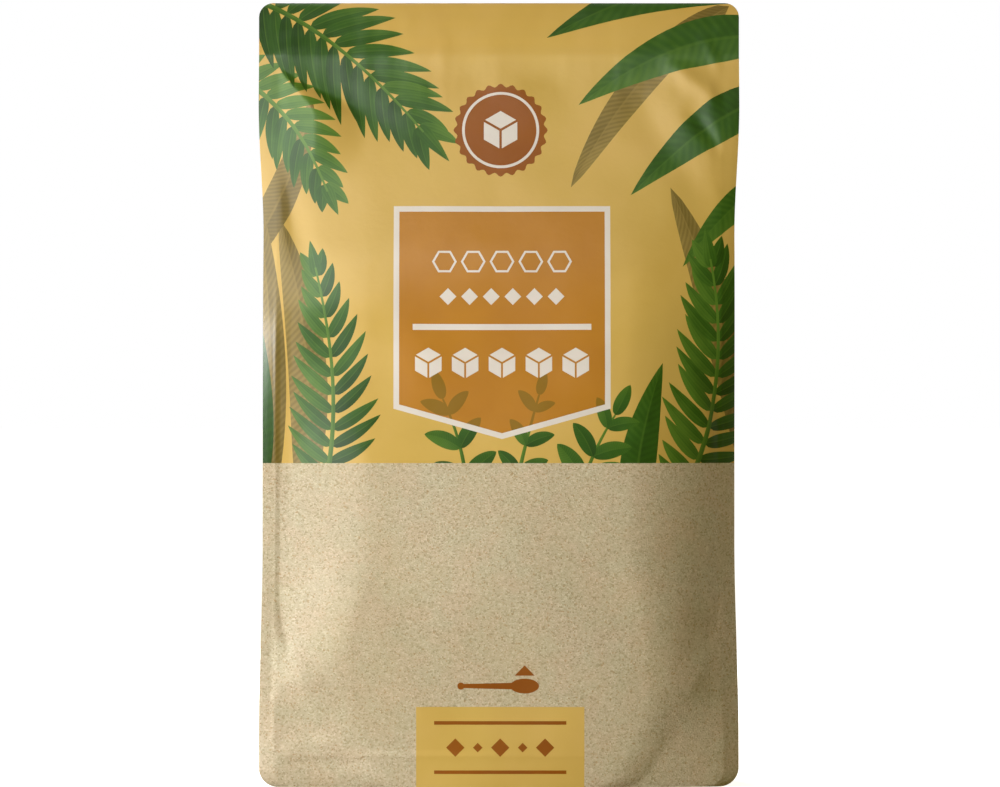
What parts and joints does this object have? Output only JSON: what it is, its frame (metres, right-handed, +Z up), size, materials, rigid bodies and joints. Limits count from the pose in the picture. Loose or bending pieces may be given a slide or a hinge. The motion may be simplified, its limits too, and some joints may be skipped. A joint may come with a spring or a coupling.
{
  "type": "bag of brown sugar",
  "caption": "Full film bag of pale brown sugar with gold printed top half, flat top seal, side gussets, narrow edge seals and a flat bottom.",
  "frame": {"origin": "middle of the flat bottom face", "axes": "+Z up to the top seal, -Y out of the front panel, +X to the right seen from the front"},
  "size_m": [0.121, 0.07, 0.1968],
  "materials": {
    "printed_film": "satin film, printed gold yellow with green leaves over the upper half",
    "sugar_film": "clear satin film lying on fine pale brown sugar",
    "leaf_print": "satin green ink on film",
    "label_print": "satin orange and off-white ink on film"
  },
  "bodies": {
    "root": {"sugar_bag": "printed_film"}
  },
  "joints": []
}
